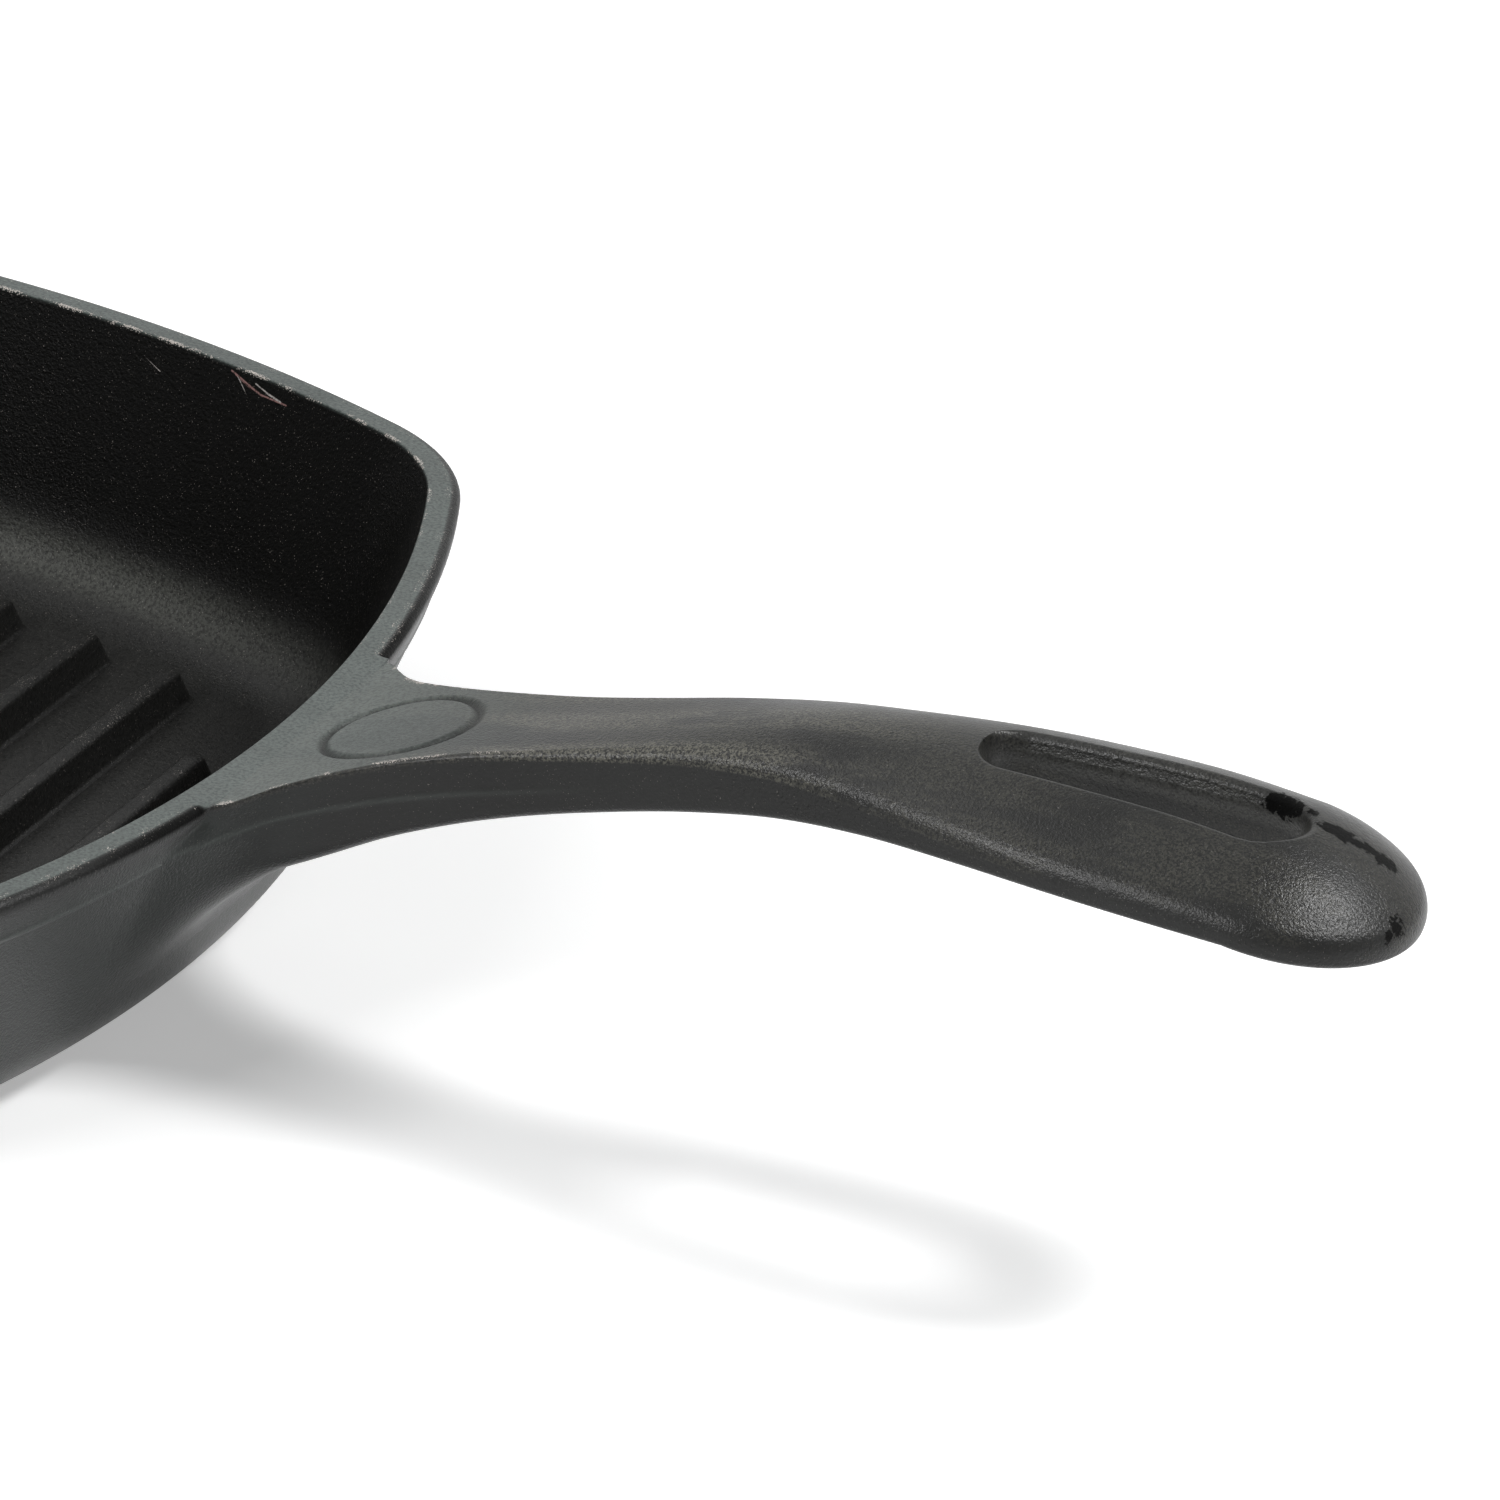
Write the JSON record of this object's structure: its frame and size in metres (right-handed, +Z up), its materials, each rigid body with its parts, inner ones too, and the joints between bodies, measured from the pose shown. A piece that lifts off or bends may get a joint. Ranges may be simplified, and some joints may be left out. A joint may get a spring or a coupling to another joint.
{
  "type": "frying pan",
  "caption": "Square cast-iron grill frying pan with a ridged floor and a long rising handle with a hanging slot.",
  "frame": {"origin": "middle of the flat underside that the pan rests on, under the centre of the square tray", "axes": "+X along the handle towards its tip, +Y across the tray, +Z up out of the tray's mouth"},
  "size_m": [0.4448, 0.2666, 0.0758],
  "materials": {
    "cast_iron": "satin"
  },
  "bodies": {
    "root": {"pan_floor": "cast_iron", "pan_wall": "cast_iron", "rim": "cast_iron", "ridge_01": "cast_iron", "ridge_02": "cast_iron", "ridge_03": "cast_iron", "ridge_04": "cast_iron", "ridge_05": "cast_iron", "ridge_06": "cast_iron", "ridge_07": "cast_iron", "ridge_08": "cast_iron", "ridge_09": "cast_iron", "ridge_10": "cast_iron", "ridge_11": "cast_iron", "handle_root": "cast_iron", "handle_neck": "cast_iron", "handle_grip": "cast_iron"}
  },
  "joints": []
}
